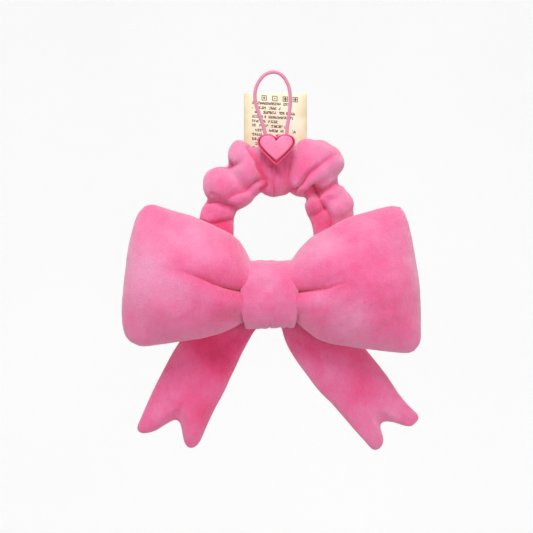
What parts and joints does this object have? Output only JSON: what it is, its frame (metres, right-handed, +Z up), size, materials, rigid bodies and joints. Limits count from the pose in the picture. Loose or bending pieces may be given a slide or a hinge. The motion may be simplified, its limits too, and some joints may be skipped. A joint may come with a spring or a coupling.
{
  "type": "plush bow scrunchie",
  "caption": "Stuffed plush bow with two notched tails, tied to a small gathered elastic ring that hangs from a thin cord loop with a heart charm and a folded care label.",
  "frame": {"origin": "point under the crown of the cord loop, where a hook holds it", "axes": "+Z up along the hang, front of the bow faces -Y, +X to the right of the front view"},
  "size_m": [0.1636, 0.0467, 0.2107],
  "materials": {
    "plush": "short velvety pile, soft sheen",
    "filling": "loose white fibre",
    "elastic": "braided tape",
    "thread": "twisted polyester thread",
    "cord": "smooth round elastic cord",
    "heart_tray": "moulded, satin",
    "heart_cap": "moulded, satin",
    "label": "cream satin ribbon"
  },
  "bodies": {
    "hang_loop": {"hang_loop_cord": "cord"},
    "band_upper": {"heart_tray": "heart_tray", "heart_cap": "heart_cap", "heart_tie_thread": "thread", "band_cover_top": "plush", "band_elastic": "elastic", "label_tack_thread": "thread"},
    "label": {"care_label": "label"},
    "band_lower": {"band_cover_left": "plush", "band_cover_right": "plush", "band_cover_bundle": "plush"},
    "bow": {"knot_wrap": "plush", "knot_padding": "filling", "knot_back_stitch": "thread", "bow_waist": "plush", "waist_thread": "thread"},
    "left_wing": {"left_wing_front_panel": "plush", "left_wing_back_panel": "plush", "left_wing_filling": "filling"},
    "right_wing": {"right_wing_front_panel": "plush", "right_wing_back_panel": "plush", "right_wing_filling": "filling"},
    "left_tail": {"left_tail_front_panel": "plush", "left_tail_back_panel": "plush", "left_tail_filling": "filling"},
    "right_tail": {"right_tail_front_panel": "plush", "right_tail_back_panel": "plush", "right_tail_filling": "filling"}
  },
  "joints": [
    {"name": "loop_swing", "type": "hinge", "parent": "hang_loop", "child": "band_upper", "pos_m": [0.002, 0, -0.0318], "axis": [1, 0, 0], "range_deg": [-90, 25]},
    {"name": "label_flip", "type": "hinge", "parent": "band_upper", "child": "label", "pos_m": [0.0017, 0.02375, -0.0501], "axis": [1, 0, 0], "range_deg": [-110, 5], "stiffness_Nm_per_rad": 0.001},
    {"name": "band_stretch", "type": "slide", "parent": "band_upper", "child": "band_lower", "axis": [0, 0, -1], "range_m": [0, 0.06], "stiffness_N_per_m": 60, "springref_m": -0.02, "deforming": ["band_elastic"]},
    {"name": "bow_fold", "type": "hinge", "parent": "band_lower", "child": "bow", "pos_m": [-0.00165, 0.013, -0.1141], "axis": [1, 0, 0], "range_deg": [0, 90]},
    {"name": "left_wing_flex", "type": "hinge", "parent": "bow", "child": "left_wing", "pos_m": [-0.02455, -0.004, -0.1218], "axis": [0, 0, 1], "range_deg": [-5, 40], "stiffness_Nm_per_rad": 0.05},
    {"name": "right_wing_flex", "type": "hinge", "parent": "bow", "child": "right_wing", "pos_m": [0.02125, -0.004, -0.1218], "axis": [0, 0, -1], "range_deg": [-5, 40], "stiffness_Nm_per_rad": 0.05},
    {"name": "left_tail_swing", "type": "hinge", "parent": "bow", "child": "left_tail", "pos_m": [-0.02695, 0.014, -0.1388], "axis": [0, 1, 0], "range_deg": [-20, 25], "stiffness_Nm_per_rad": 0.02, "springref_deg": 2.06},
    {"name": "right_tail_swing", "type": "hinge", "parent": "bow", "child": "right_tail", "pos_m": [0.02365, 0.014, -0.1424], "axis": [0, -1, 0], "range_deg": [-20, 25], "stiffness_Nm_per_rad": 0.02, "springref_deg": 3.09}
  ]
}
